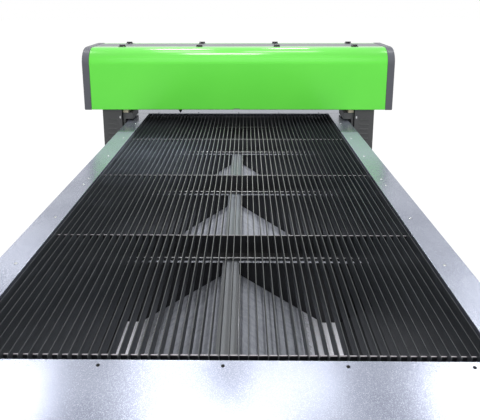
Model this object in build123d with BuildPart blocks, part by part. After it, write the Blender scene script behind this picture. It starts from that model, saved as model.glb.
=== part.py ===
from build123d import *
import os

os.makedirs("parts", exist_ok=True)

# Flatbed laser cutter: a blade table in a steel frame, bridged by a gantry that carries
# the laser tube and the cutting head. Millimetres, +Z up, front of the table towards -Y,
# origin on the floor under the middle of the table.

# Table and flange
bed_height = 750
opening_width = 1320
opening_length = 2540
side_flange = 106
front_flange = 250
rear_flange = 360
flange_sheet = 3
flange_lip = 40
flange_bend = 2
flange_joint = 1164
joint_gap = 1

# Blades and combs
blade_pitch = 24.4
blade_thickness = 2
blade_height = 45
blade_end_gap = 10
comb_drop = 16
comb_thickness = 4
comb_side_gap = 4
slot_clearance = 0.3
comb_inset = 36
comb_pitch = 630
bar_drop = 86
bar_shift = 17
bar_width = 40
bar_height = 16
bar_wall = 3
bar_corner = 4

# Hopper under the blades
hopper_sheet = 2
hopper_gap = 0.4
ridge_width = 60
ridge_height = 80
ridge_wall = 2
ridge_drop = 176
valley_drop = 378
valley_floor = 70
valley_offset = 382
hopper_side_drop = 214
bulkhead_sheet = 3

# Frame
beam_width = 60
beam_depth = 140
tube_wall = 4
beam_inset = 8
rear_frame_inset = 78
post_count = 4
foot_height = 60
foot_pad_radius = 36
foot_pad_height = 14
foot_pad_chamfer = 7
post_base = 8
foot_stud_radius = 11
rail_bottom = 120
rail_depth = 60
panel_sheet = 2
panel_bottom = 100
panel_top_gap = 6

# Exhaust
spigot_radius = 75
spigot_wall = 3
spigot_length = 70
spigot_flange_radius = 98
spigot_flange_sheet = 3
spigot_rise = 85
spigot_gap = 0.3

# Lengthwise drive
y_rail_height = 18
y_rail_width = 20
y_rail_drop = 90
y_rail_chamfer = 2
belt_thickness = 2
belt_gap = 0.3
running_gap = 0.3
y_belt_width = 20
y_pulley_radius = 25
y_pulley_rim = 4
y_pulley_flange = 2
pulley_notch_gap = 3
shaft_radius = 10
shaft_drop = 160
shaft_inset = 175
idler_inset = 135
fit_clearance = 0.05
bearing_width = 40
bearing_side = 25
axle_radius = 8
y_motor_size = 86
y_motor_length = 120
y_motor_corner = 8
y_motor_back = 40
y_motor_drop = 90
y_motor_plate = 6
y_motor_plate_width = 72
motor_shaft_radius = 5
motor_hole_radius = 10
motor_pulley_radius = 20
driven_pulley_radius = 30
short_belt_width = 16
short_belt_gap = 3

# Gantry, parked before the opening's rear edge, with heights from the table's top
gantry_park = 257
cover_overhang = 64
gantry_depth = 495
cap_thickness = 48
cap_wall = 4
cap_chamfer = 5
cover_inset = 2
cover_sheet = 2
cover_gap = 1
cover_bottom = 86
cover_top = 507
cover_radius = 105
rear_bottom = 150
rear_slope_start = 250
rear_slope_end = 330
stop_gap = 0.3
rear_lip = 20
lip_bend = 6
pull_offset = -8
pull_width = 42
pull_height = 9
pull_depth = 12

# Legs
leg_plate = 15
leg_plate_setback = 30
leg_plate_rise = 20
leg_front = 30
leg_depth = 290
leg_width = 135
leg_sheet = 2
leg_corner = 10
leg_bottom = 520
leg_top_gap = 3
louvre_width = 62
louvre_height = 7
louvre_hood = 7
louvre_pitch = 33
louvre_count = 5
louvre_first = 12
louvre_centre = 67
y_block_length = 75
y_block_width = 63
y_block_height = 30
y_block_inset = 10
y_block_lift = 6
block_gap = 0.3
clamp_length = 60
clamp_height = 12
shelf_reach = 53
shelf_gap = 8
foot_block_width = 38
foot_block_height = 42

# Beam and cross drive
cross_beam_front = 145
cross_beam_depth = 100
cross_beam_bottom = 95
cross_beam_height = 140
cross_beam_wall = 5
x_rail_height = 15
x_rail_width = 15
x_rail_rise = 55
x_rail_end_gap = 102
x_motor_size = 57
x_motor_length = 76
x_motor_corner = 6
x_motor_offset = 72
x_plate = 5
x_plate_width = 70
x_plate_reach = 55
x_pulley_radius = 15
x_pulley_width = 15
x_pulley_lift = 3
x_belt_width = 11
x_axle_radius = 4
x_spacer_radius = 8
x_motor_hole = 12
x_idler_offset = 112

# Spine, hinges and laser tube
hinge_row = 137
hinge_pitch = 535
hinge_count = 4
hinge_half = 20
hinge_knuckle = 16
hinge_leaf = 26
hinge_leaf_sheet = 3
hinge_radius = 5.5
pin_radius = 2.5
spine_sheet = 3
spine_lip = 22
bracket_sheet = 5
bracket_foot = 90
bracket_bend = 130
tray_rise = 158
tray_sheet = 2
tray_lip = 24
tray_end_gap = 27
tube_radius = 40
tube_neck_radius = 18
tube_neck_length = 40
tube_glass = 3
tube_outlet = 4
tube_back = 125
tube_rise = 300
holder_offset = 550
holder_thickness = 30
holder_rim = 12
holder_stem = 62
holder_foot = 110
holder_gap = 0.3
mirror_size = 50
mirror_inset = 45
mirror_aperture = 9
mirror_plate = 6
tube_mirror_gap = 67

# Head and focus tube
head_park = -401
head_width = 110
head_plate = 12
head_gap = 28
head_bottom = 100
head_top = 330
x_block_length = 50
x_block_width = 34
x_block_lift = 4
lens_axis = 62
lens_radius = 16
lens_top = 236
lens_bottom = 85
lens_bore = 10
lens_disc = 12
lens_seat = 60
lens_thickness = 3
collar_radius = 19
collar_height = 25
bracket_size = 48
bracket_bottom = 170
bracket_step = 238
bracket_top = 325
lens_room = 34
nozzle_tip = 54
nozzle_tip_radius = 4
nozzle_root_radius = 14
nozzle_neck = 8
nozzle_bore = 1.5
screw_rise = 204
knob_radius = 9
knob_sides = 12
knob_length = 12
knob_gap = 4
lock_radius = 3

# Places worked out from the sizes above
bed_width = opening_width + 2 * side_flange
bed_length = opening_length + front_flange + rear_flange
bed_front = -bed_length / 2
bed_rear = bed_length / 2
opening_front = bed_front + front_flange
opening_rear = bed_rear - rear_flange
flange_under = bed_height - flange_sheet
frame_outer = bed_width / 2 - beam_inset
frame_inner = frame_outer - beam_width
frame_front = bed_front + beam_inset
frame_rear = bed_rear - rear_frame_inset
beam_bottom = flange_under - beam_depth
blade_bottom = bed_height - blade_height
blade_count = int(opening_width // blade_pitch)
bar_top = bed_height - bar_drop
bar_bottom = bar_top - bar_height
comb_steps = int((opening_length - 2 * comb_inset) // comb_pitch)
comb_rows = [opening_front + comb_inset + k * comb_pitch for k in range(comb_steps + 1)]
comb_rows.append(opening_rear - comb_inset)
ridge_z = bed_height - ridge_drop
valley_z = bed_height - valley_drop
hopper_side_z = bed_height - hopper_side_drop
ridge_half = ridge_width / 2
hopper_half = frame_inner - hopper_sheet - hopper_gap
floor_inner = valley_offset - valley_floor / 2
floor_outer = valley_offset + valley_floor / 2
spigot_z = valley_z + spigot_rise
y_rail_z = bed_height - y_rail_drop
y_block_face = frame_outer + y_block_height
pulley_notch = y_pulley_radius + y_pulley_rim + pulley_notch_gap
shaft_y = bed_rear - shaft_inset
shaft_z = bed_height - shaft_drop
idler_y = bed_front + idler_inset
belt_inner = y_pulley_radius + belt_gap
belt_start = frame_outer + (y_block_height - y_belt_width) / 2
gantry_front = opening_rear - gantry_park
gantry_rear = gantry_front + gantry_depth
leg_inner = y_block_face + leg_plate
leg_outer = leg_inner + leg_width
cover_half = leg_outer + cover_overhang
leg_front_y = gantry_front + leg_front
leg_rear_y = leg_front_y + leg_depth
plate_front_y = leg_front_y + leg_plate_setback
plate_bottom = leg_bottom + leg_plate_rise
cross_front_y = gantry_front + cross_beam_front
cross_rear_y = cross_front_y + cross_beam_depth
cross_bottom_z = bed_height + cross_beam_bottom
cross_top_z = cross_bottom_z + cross_beam_height
cover_top_z = bed_height + cover_top
diagonal = 0.5 ** 0.5
front_hinge_y = gantry_front + hinge_row
rear_hinge_y = gantry_rear - hinge_row
hinge_z = cover_top_z + hinge_radius + cover_gap
hinge_xs = [(k - (hinge_count - 1) / 2) * hinge_pitch for k in range(hinge_count)]
x_axis_y = cross_front_y - x_motor_size / 2
x_motor_x = -cover_half + x_motor_offset
x_idler_x = cover_half - x_idler_offset
x_belt_inner = x_pulley_radius + belt_gap
x_pulley_z = cross_top_z + x_plate + x_pulley_lift
x_belt_z = x_pulley_z + (x_pulley_width - x_belt_width) / 2
x_rail_z = cross_bottom_z + x_rail_rise
tray_z = bed_height + tray_rise
tube_y = gantry_rear - tube_back
tube_z = bed_height + tube_rise
mirror_x = cover_half - mirror_inset + mirror_size / 2
tube_half = mirror_x - mirror_size - tube_mirror_gap - tube_neck_length
head_plate_rear = cross_front_y - head_gap
head_plate_front = head_plate_rear - head_plate
lens_y = gantry_front + lens_axis


def block(x, y, z):
    # A box between the limits given as (low, high) pairs
    with Locations(((x[0] + x[1]) / 2, (y[0] + y[1]) / 2, (z[0] + z[1]) / 2)):
        Box(x[1] - x[0], y[1] - y[0], z[1] - z[0])


def end_flange(outer_y, inner_y):
    # A plate across the table with lips folded down along its outer edge, its ends and the opening
    low_y, high_y = sorted((outer_y, inner_y))
    inward = 1 if inner_y > outer_y else -1
    lip_z = (bed_height - flange_lip, bed_height)
    block((-bed_width / 2, bed_width / 2), (low_y, high_y), (flange_under, bed_height))
    block((-bed_width / 2, bed_width / 2), sorted((outer_y, outer_y + inward * flange_sheet)), lip_z)
    inner_lip = sorted((inner_y, inner_y - inward * flange_sheet))
    block((-opening_width / 2, opening_width / 2), inner_lip, lip_z)
    block((bed_width / 2 - flange_sheet, bed_width / 2), (low_y, high_y), lip_z)
    block((-bed_width / 2, -bed_width / 2 + flange_sheet), (low_y, high_y), lip_z)
    fillet(faces().sort_by(Axis.Z)[-1].edges(), radius=flange_bend)


def tube_section(width, depth, wall):
    Rectangle(width, depth)
    Rectangle(width - 2 * wall, depth - 2 * wall, mode=Mode.SUBTRACT)


def save(part, name):
    part.label = name
    export_step(part, f"parts/{name}.step")


# Flange plates round the opening
with BuildPart() as front_flange_plate:
    end_flange(bed_front, opening_front)
save(front_flange_plate.part, "front_flange")

with BuildPart() as rear_flange_plate:
    end_flange(bed_rear, opening_rear)
save(rear_flange_plate.part, "rear_flange")

joint_y = opening_front + flange_joint
side_flange_mid = (opening_width + side_flange) / 2
flange_halves = [
    (opening_front + joint_gap, joint_y - joint_gap / 2),
    (joint_y + joint_gap / 2, opening_rear - joint_gap),
]
with BuildPart() as side_flanges:
    for front_end, rear_end in flange_halves:
        with BuildSketch(Plane.XZ.offset(-rear_end)):
            with Locations((side_flange_mid, bed_height - flange_lip / 2)):
                Rectangle(side_flange, flange_lip)
            with Locations((side_flange_mid, flange_under - flange_lip / 2)):
                Rectangle(side_flange - 2 * flange_sheet, flange_lip, mode=Mode.SUBTRACT)
        extrude(amount=rear_end - front_end)
    fillet(edges().filter_by(Axis.Y).group_by(Axis.Z)[-1], radius=flange_bend)
    mirror(about=Plane.YZ)
save(side_flanges.part, "side_flanges")

# Blade table: upright blades held in slotted combs on cross bars
with BuildPart() as table_blades:
    with BuildSketch(Plane.XY.offset(blade_bottom)):
        with Locations((0, (opening_front + opening_rear) / 2)):
            with GridLocations(blade_pitch, 1, blade_count, 1):
                Rectangle(blade_thickness, opening_length - 2 * blade_end_gap)
    extrude(amount=blade_height)
save(table_blades.part, "table_blades")

comb_top = bed_height - comb_drop
comb_half = opening_width / 2 - comb_side_gap
slot_width = blade_thickness + 2 * slot_clearance
with BuildPart() as comb_plates:
    for row in comb_rows:
        with BuildSketch(Plane.XZ.offset(-row - comb_thickness / 2)):
            with Locations((0, (bar_top + comb_top) / 2)):
                Rectangle(2 * comb_half, comb_top - bar_top)
            with Locations((0, (blade_bottom + comb_top) / 2)):
                with GridLocations(blade_pitch, 1, blade_count, 1):
                    Rectangle(slot_width, comb_top - blade_bottom, mode=Mode.SUBTRACT)
        extrude(amount=comb_thickness)
save(comb_plates.part, "comb_plates")

with BuildPart() as comb_bars:
    for row in comb_rows:
        with BuildSketch(Plane.YZ.offset(-frame_inner)):
            with Locations((row - bar_shift, (bar_bottom + bar_top) / 2)):
                RectangleRounded(bar_width, bar_height, bar_corner)
                Rectangle(bar_width - 2 * bar_wall, bar_height - 2 * bar_wall, mode=Mode.SUBTRACT)
        extrude(amount=2 * frame_inner)
save(comb_bars.part, "comb_bars")

# Hopper: two troughs beside a ridge tube, each of two slopes, a flat floor and an upright side
slopes = [
    ((ridge_half + hopper_gap, ridge_z), (floor_inner - hopper_gap, valley_z)),
    ((floor_inner, valley_z), (floor_outer, valley_z)),
    ((floor_outer + hopper_gap, valley_z), (hopper_half, hopper_side_z)),
]
with BuildPart() as hopper_panels:
    for start, end in slopes:
        run, rise = end[0] - start[0], end[1] - start[1]
        upright = hopper_sheet * (run ** 2 + rise ** 2) ** 0.5 / run
        with BuildSketch(Plane.XZ.offset(-comb_rows[-1])):
            with BuildLine():
                Polyline(
                    start,
                    end,
                    (end[0], end[1] - upright),
                    (start[0], start[1] - upright),
                    close=True,
                )
            make_face()
        extrude(amount=comb_rows[-1] - comb_rows[0])
    side_run = (comb_rows[0], comb_rows[-1])
    block((frame_inner - hopper_sheet, frame_inner), side_run, (hopper_side_z, bar_bottom))
    mirror(about=Plane.YZ)
save(hopper_panels.part, "hopper_panels")

with BuildPart() as ridge_tubes:
    for front_row, rear_row in zip(comb_rows, comb_rows[1:]):
        ridge_start = front_row + bulkhead_sheet / 2 + hopper_gap
        ridge_end = rear_row - bulkhead_sheet / 2 - hopper_gap
        with BuildSketch(Plane.XZ.offset(-ridge_end)):
            with Locations((0, bar_bottom - ridge_height / 2)):
                tube_section(ridge_width, ridge_height, ridge_wall)
        extrude(amount=ridge_end - ridge_start)
save(ridge_tubes.part, "ridge_tubes")

with BuildPart() as bulkheads:
    for row in comb_rows:
        with BuildSketch(Plane.XZ.offset(-row - bulkhead_sheet / 2)):
            with BuildLine():
                Polyline(
                    (-hopper_half, bar_bottom),
                    (-hopper_half, hopper_side_z + hopper_gap),
                    (-floor_outer, valley_z + hopper_gap),
                    (-floor_inner, valley_z + hopper_gap),
                    (-ridge_half, ridge_z + hopper_gap),
                    (ridge_half, ridge_z + hopper_gap),
                    (floor_inner, valley_z + hopper_gap),
                    (floor_outer, valley_z + hopper_gap),
                    (hopper_half, hopper_side_z + hopper_gap),
                    (hopper_half, bar_bottom),
                    close=True,
                )
            make_face()
        extrude(amount=bulkhead_sheet)
    with BuildSketch(Plane.XZ.offset(-comb_rows[-1] - bulkhead_sheet)):
        with Locations((-valley_offset, spigot_z), (valley_offset, spigot_z)):
            Circle(spigot_radius - spigot_wall)
    extrude(amount=2 * bulkhead_sheet, mode=Mode.SUBTRACT)
save(bulkheads.part, "bulkheads")

# Frame of welded tubes on levelling feet
beam_mid_x = (frame_inner + frame_outer) / 2
beam_mid_z = flange_under - beam_depth / 2
with BuildPart() as side_beams:
    with BuildSketch(Plane.XZ.offset(-frame_rear)):
        with Locations((beam_mid_x, beam_mid_z), (-beam_mid_x, beam_mid_z)):
            tube_section(beam_width, beam_depth, tube_wall)
    extrude(amount=frame_rear - frame_front)
save(side_beams.part, "side_beams")

cross_mids = [
    frame_front + beam_width / 2,
    opening_front - beam_inset - beam_width / 2,
    opening_rear + beam_inset + beam_width / 2,
    frame_rear - beam_width / 2,
]
with BuildPart() as cross_beams:
    with BuildSketch(Plane.YZ.offset(-frame_inner)):
        with Locations(*[(y, beam_mid_z) for y in cross_mids]):
            tube_section(beam_width, beam_depth, tube_wall)
    extrude(amount=2 * frame_inner)
save(cross_beams.part, "cross_beams")

post_span = frame_rear - frame_front - beam_width
post_ys = [frame_front + beam_width / 2 + k * post_span / (post_count - 1) for k in range(post_count)]
post_places = [(side * beam_mid_x, y) for side in (-1, 1) for y in post_ys]
with BuildPart() as posts:
    with BuildSketch(Plane.XY.offset(foot_height)):
        with Locations(*post_places):
            tube_section(beam_width, beam_width, tube_wall)
    extrude(amount=beam_bottom - foot_height)
    with BuildSketch(Plane.XY.offset(foot_height)):
        with Locations(*post_places):
            Rectangle(beam_width, beam_width)
    extrude(amount=post_base)
save(posts.part, "posts")

rail_mid = rail_bottom + rail_depth / 2
with BuildPart() as bottom_rails:
    for front_post, rear_post in zip(post_ys, post_ys[1:]):
        with BuildSketch(Plane.XZ.offset(-rear_post + beam_width / 2)):
            with Locations((beam_mid_x, rail_mid), (-beam_mid_x, rail_mid)):
                tube_section(beam_width, rail_depth, tube_wall)
        extrude(amount=rear_post - front_post - beam_width)
    with BuildSketch(Plane.YZ.offset(-frame_inner)):
        with Locations(*[(y, rail_mid) for y in post_ys]):
            tube_section(beam_width, rail_depth, tube_wall)
    extrude(amount=2 * frame_inner)
save(bottom_rails.part, "bottom_rails")

with BuildPart() as levelling_feet:
    with Locations(*post_places):
        Cylinder(foot_pad_radius, foot_pad_height, align=(Align.CENTER, Align.CENTER, Align.MIN))
    chamfer(faces().group_by(Axis.Z)[-1].edges(), length=foot_pad_chamfer)
    with BuildSketch(Plane.XY.offset(foot_pad_height)):
        with Locations(*post_places):
            Circle(foot_stud_radius)
    extrude(amount=foot_height - foot_pad_height)
save(levelling_feet.part, "levelling_feet")

# Sheet panels that close the base
with BuildPart() as side_panels:
    block((frame_outer, frame_outer + panel_sheet), (frame_front, frame_rear), (panel_bottom, beam_bottom))
    with BuildSketch(Plane.YZ.offset(frame_outer)):
        with Locations((idler_y, beam_bottom), (shaft_y, beam_bottom)):
            Rectangle(2 * pulley_notch, 2 * (beam_bottom - shaft_z + pulley_notch))
    extrude(amount=panel_sheet, mode=Mode.SUBTRACT)
    mirror(about=Plane.YZ)
save(side_panels.part, "side_panels")

panel_top = bed_height - flange_lip - panel_top_gap
with BuildPart() as front_panel:
    block((-frame_outer, frame_outer), (frame_front - panel_sheet, frame_front), (panel_bottom, panel_top))
save(front_panel.part, "front_panel")

spigot_places = [(-valley_offset, spigot_z), (valley_offset, spigot_z)]
with BuildPart() as rear_panel:
    block((-frame_outer, frame_outer), (frame_rear, frame_rear + panel_sheet), (panel_bottom, panel_top))
    with BuildSketch(Plane.XZ.offset(-frame_rear - panel_sheet)):
        with Locations(*spigot_places):
            Circle(spigot_radius + spigot_gap)
    extrude(amount=panel_sheet, mode=Mode.SUBTRACT)
save(rear_panel.part, "rear_panel")

# Exhaust ducts from the last bulkhead, ending in spigots for a hose
spigot_seat = frame_rear + panel_sheet
duct_start = comb_rows[-1] + bulkhead_sheet / 2
with BuildPart() as exhaust_spigots:
    with BuildSketch(Plane.XZ.offset(-spigot_seat - spigot_length)):
        with Locations(*spigot_places):
            Circle(spigot_radius)
    extrude(amount=spigot_seat + spigot_length - duct_start)
    with BuildSketch(Plane.XZ.offset(-spigot_seat - spigot_flange_sheet)):
        with Locations(*spigot_places):
            Circle(spigot_flange_radius)
    extrude(amount=spigot_flange_sheet)
    with BuildSketch(Plane.XZ.offset(-spigot_seat - spigot_length)):
        with Locations(*spigot_places):
            Circle(spigot_radius - spigot_wall)
    extrude(amount=spigot_seat + spigot_length - duct_start, mode=Mode.SUBTRACT)
save(exhaust_spigots.part, "exhaust_spigots")

# Guide rails, belts and the cross shaft that drive the gantry along the table
with BuildPart() as y_rails:
    with BuildSketch(Plane.XZ.offset(-frame_rear)):
        with Locations((frame_outer + y_rail_height / 2, y_rail_z)):
            rail_face = Rectangle(y_rail_height, y_rail_width)
        chamfer(rail_face.vertices().group_by(Axis.X)[-1], length=y_rail_chamfer)
    extrude(amount=frame_rear - frame_front)
    mirror(about=Plane.YZ)
save(y_rails.part, "y_rails")

y_motor_y = shaft_y + y_motor_back
y_motor_z = shaft_z - y_motor_drop
short_belt_start = y_motor_plate + short_belt_gap
with BuildPart() as y_belts:
    with BuildSketch(Plane.YZ.offset(belt_start)):
        with Locations(((idler_y + shaft_y) / 2, shaft_z)):
            SlotCenterToCenter(shaft_y - idler_y, 2 * (belt_inner + belt_thickness))
            SlotCenterToCenter(shaft_y - idler_y, 2 * belt_inner, mode=Mode.SUBTRACT)
    extrude(amount=y_belt_width)
    mirror(about=Plane.YZ)
    with BuildSketch(Plane.YZ.offset(short_belt_start)):
        with Locations((shaft_y, shaft_z)):
            Circle(driven_pulley_radius + belt_gap + belt_thickness)
        with Locations((y_motor_y, y_motor_z)):
            Circle(motor_pulley_radius + belt_gap + belt_thickness)
        make_hull()
        with BuildSketch(Plane.YZ, mode=Mode.PRIVATE) as belt_inside:
            with Locations((shaft_y, shaft_z)):
                Circle(driven_pulley_radius + belt_gap)
            with Locations((y_motor_y, y_motor_z)):
                Circle(motor_pulley_radius + belt_gap)
            make_hull()
        add(belt_inside.sketch_local, mode=Mode.SUBTRACT)
    extrude(amount=short_belt_width)
save(y_belts.part, "y_belts")

idler_width = y_block_height - 2 * y_pulley_flange
idler_start = frame_outer + y_pulley_flange
axle_end = idler_start + idler_width
bearing_x = (beam_mid_x - bearing_width / 2, beam_mid_x + bearing_width / 2)
with BuildPart() as shaft_supports:
    for y in (shaft_y, idler_y):
        block(bearing_x, (y - bearing_side, y + bearing_side), (shaft_z - bearing_side, beam_bottom))
    with BuildSketch(Plane.YZ.offset(bearing_x[1])):
        with Locations((idler_y, shaft_z)):
            Circle(axle_radius)
    extrude(amount=axle_end - bearing_x[1])
    with BuildSketch(Plane.YZ.offset(bearing_x[0])):
        with Locations((shaft_y, shaft_z)):
            Circle(shaft_radius + fit_clearance)
    extrude(amount=bearing_width, mode=Mode.SUBTRACT)
    mirror(about=Plane.YZ)
save(shaft_supports.part, "shaft_supports")

with BuildPart() as y_motor:
    with BuildSketch(Plane.YZ.offset(-y_motor_length)):
        with Locations((y_motor_y, y_motor_z)):
            motor_face = Rectangle(y_motor_size, y_motor_size)
        chamfer(motor_face.vertices(), length=y_motor_corner)
    extrude(amount=y_motor_length)
    block(
        (0, y_motor_plate),
        (y_motor_y + y_motor_size / 2 - y_motor_plate_width, y_motor_y + y_motor_size / 2),
        (y_motor_z - y_motor_size / 2, beam_bottom),
    )
    with BuildSketch(Plane.YZ):
        with Locations((y_motor_y, y_motor_z)):
            Circle(motor_hole_radius)
    extrude(amount=y_motor_plate, mode=Mode.SUBTRACT)
save(y_motor.part, "y_motor")

with BuildPart() as y_motor_pulley:
    with BuildSketch(Plane.YZ.offset(running_gap)):
        with Locations((y_motor_y, y_motor_z)):
            Circle(motor_shaft_radius)
    extrude(amount=short_belt_start - running_gap)
    with BuildSketch(Plane.YZ.offset(short_belt_start)):
        with Locations((y_motor_y, y_motor_z)):
            Circle(motor_pulley_radius)
    extrude(amount=short_belt_width)
save(y_motor_pulley.part, "y_motor_pulley")

with BuildPart() as y_cross_shaft:
    with BuildSketch(Plane.YZ.offset(-axle_end)):
        with Locations((shaft_y, shaft_z)):
            Circle(shaft_radius)
    extrude(amount=2 * axle_end)
save(y_cross_shaft.part, "y_cross_shaft")

with BuildPart() as y_shaft_pulleys:
    with BuildSketch(Plane.YZ.offset(idler_start)):
        with Locations((shaft_y, shaft_z)):
            Circle(y_pulley_radius)
    extrude(amount=idler_width)
    with BuildSketch(Plane.YZ.offset(idler_start), Plane.YZ.offset(axle_end - y_pulley_flange)):
        with Locations((shaft_y, shaft_z)):
            Circle(y_pulley_radius + y_pulley_rim)
    extrude(amount=y_pulley_flange)
    mirror(about=Plane.YZ)
    with BuildSketch(Plane.YZ.offset(short_belt_start)):
        with Locations((shaft_y, shaft_z)):
            Circle(driven_pulley_radius)
    extrude(amount=short_belt_width)
    with Locations(Location((0, shaft_y, shaft_z), (0, 90, 0))):
        Cylinder(shaft_radius + fit_clearance / 2, 2 * axle_end, mode=Mode.SUBTRACT)
save(y_shaft_pulleys.part, "y_shaft_pulleys")

for name, side in (("y_idler_left", -1), ("y_idler_right", 1)):
    idler_origin = side * (idler_start + idler_width / 2)
    with BuildPart() as idler:
        with Locations(Location((idler_origin, idler_y, shaft_z), (0, 90, 0))):
            Cylinder(y_pulley_radius, idler_width)
        for rim_offset in (-1, 1):
            rim_x = idler_origin + rim_offset * (idler_width - y_pulley_flange) / 2
            with Locations(Location((rim_x, idler_y, shaft_z), (0, 90, 0))):
                Cylinder(y_pulley_radius + y_pulley_rim, y_pulley_flange)
        with Locations(Location((idler_origin, idler_y, shaft_z), (0, 90, 0))):
            Cylinder(axle_radius + fit_clearance, idler_width, mode=Mode.SUBTRACT)
    save(idler.part, name)

# Gantry legs outside the table, each with a shelf over the flange, their guide blocks and covers
shelf_top = cross_bottom_z - foot_block_height
with BuildPart() as leg_plates:
    block((y_block_face, leg_inner), (plate_front_y, leg_rear_y), (plate_bottom, shelf_top))
    block(
        (y_block_face - shelf_reach, leg_inner),
        (plate_front_y, cross_rear_y),
        (bed_height + shelf_gap, shelf_top),
    )
    mirror(about=Plane.YZ)
save(leg_plates.part, "leg_plates")

louvre_x = leg_inner + louvre_centre
louvre_zs = [bed_height + louvre_first - k * louvre_pitch for k in range(louvre_count)]
with BuildPart() as leg_covers:
    block((leg_inner, leg_outer), (leg_front_y, leg_rear_y), (leg_bottom, cross_bottom_z - leg_top_gap))
    fillet(edges().filter_by(Axis.Z).group_by(Axis.X)[-1], radius=leg_corner)
    offset(amount=-leg_sheet, openings=faces().sort_by(Axis.X)[0])
    with BuildSketch(Plane.XZ.offset(-leg_front_y)):
        with Locations(*[(louvre_x, z) for z in louvre_zs]):
            Rectangle(louvre_width, louvre_height)
    extrude(amount=-leg_sheet, mode=Mode.SUBTRACT)
    for z in louvre_zs:
        hood_top = z + louvre_height / 2
        with BuildSketch(Plane.YZ.offset(louvre_x - louvre_width / 2)):
            with BuildLine():
                Polyline(
                    (leg_front_y + leg_sheet, hood_top),
                    (leg_front_y, hood_top),
                    (leg_front_y - louvre_hood, hood_top - louvre_height),
                    (leg_front_y - louvre_hood + leg_sheet, hood_top - louvre_height),
                    (leg_front_y + leg_sheet, hood_top - leg_sheet),
                    close=True,
                )
            make_face()
        extrude(amount=louvre_width)
    mirror(about=Plane.YZ)
save(leg_covers.part, "leg_covers")

block_fronts = [plate_front_y + y_block_inset, leg_rear_y - y_block_inset - y_block_length]
block_root = frame_outer + y_block_lift
with BuildPart() as y_bearing_blocks:
    for start in block_fronts:
        block(
            (block_root, y_block_face),
            (start, start + y_block_length),
            (y_rail_z - y_block_width / 2, y_rail_z + y_block_width / 2),
        )
    with BuildSketch(Plane.XZ.offset(-leg_rear_y)):
        with Locations((frame_outer + (y_rail_height + block_gap) / 2, y_rail_z)):
            Rectangle(y_rail_height + block_gap, y_rail_width + 2 * block_gap)
    extrude(amount=leg_depth, mode=Mode.SUBTRACT)
    mirror(about=Plane.YZ)
save(y_bearing_blocks.part, "y_bearing_blocks")

belt_top = shaft_z + belt_inner + belt_thickness
clamp_mid = (plate_front_y + leg_rear_y) / 2
with BuildPart() as y_belt_clamps:
    block(
        (belt_start, y_block_face),
        (clamp_mid - clamp_length / 2, clamp_mid + clamp_length / 2),
        (belt_top + belt_gap, belt_top + belt_gap + clamp_height),
    )
    mirror(about=Plane.YZ)
save(y_belt_clamps.part, "y_belt_clamps")

with BuildPart() as beam_foot_blocks:
    foot_block_run = (plate_front_y, cross_rear_y)
    block((leg_inner - foot_block_width, leg_inner), foot_block_run, (shelf_top, cross_bottom_z))
    mirror(about=Plane.YZ)
save(beam_foot_blocks.part, "beam_foot_blocks")

# Beam across the table, with the rail that the head runs on
with BuildPart() as gantry_beam:
    with BuildSketch(Plane.YZ.offset(-cover_half)):
        with Locations(((cross_front_y + cross_rear_y) / 2, (cross_bottom_z + cross_top_z) / 2)):
            tube_section(cross_beam_depth, cross_beam_height, cross_beam_wall)
    extrude(amount=2 * cover_half)
save(gantry_beam.part, "gantry_beam")

with BuildPart() as x_rail:
    block(
        (-cover_half + x_rail_end_gap, cover_half - x_rail_end_gap),
        (cross_front_y - x_rail_height, cross_front_y),
        (x_rail_z, x_rail_z + x_rail_width),
    )
save(x_rail.part, "x_rail")

# End caps with the outline of the whole gantry
arc_lift = cover_radius * (1 - diagonal)
cap_inside = cap_wall + cap_chamfer / 2
with BuildSketch(Plane.YZ) as cap_outline:
    with BuildLine():
        Line((gantry_front, bed_height + cover_bottom), (gantry_front, cover_top_z - cover_radius))
        ThreePointArc(
            (gantry_front, cover_top_z - cover_radius),
            (gantry_front + arc_lift, cover_top_z - arc_lift),
            (gantry_front + cover_radius, cover_top_z),
        )
        Line((gantry_front + cover_radius, cover_top_z), (gantry_rear - cover_radius, cover_top_z))
        ThreePointArc(
            (gantry_rear - cover_radius, cover_top_z),
            (gantry_rear - arc_lift, cover_top_z - arc_lift),
            (gantry_rear, cover_top_z - cover_radius),
        )
        Polyline(
            (gantry_rear, cover_top_z - cover_radius),
            (gantry_rear, bed_height + rear_bottom),
            (gantry_front + rear_slope_end, bed_height + rear_bottom),
            (gantry_front + rear_slope_start, bed_height + cover_bottom),
            (gantry_front, bed_height + cover_bottom),
        )
    make_face()

with BuildPart() as end_caps:
    with BuildSketch(Plane.YZ.offset(cover_half)):
        add(cap_outline.sketch_local)
    extrude(amount=cap_thickness)
    chamfer(faces().sort_by(Axis.X)[-1].edges(), length=cap_chamfer)
    with BuildSketch(Plane.YZ.offset(cover_half)):
        add(cap_outline.sketch_local)
        offset(amount=-cap_inside, mode=Mode.REPLACE)
    extrude(amount=cap_thickness - cap_inside, mode=Mode.SUBTRACT)
    mirror(about=Plane.YZ)
save(end_caps.part, "end_caps")

# Spine between the two hinge rows, on brackets that stand on the beam
spine_front = front_hinge_y + cover_gap
spine_rear = rear_hinge_y - cover_gap
spine_mid = (spine_front + spine_rear) / 2
with BuildPart() as spine:
    with BuildSketch(Plane.YZ.offset(-cover_half)):
        with Locations((spine_mid, cover_top_z - cover_inset - spine_lip / 2)):
            Rectangle(spine_rear - spine_front, spine_lip)
        with Locations((spine_mid, cover_top_z - cover_inset - spine_sheet - spine_lip / 2)):
            Rectangle(spine_rear - spine_front - 2 * spine_sheet, spine_lip, mode=Mode.SUBTRACT)
    extrude(amount=2 * cover_half)
save(spine.part, "spine")

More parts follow.
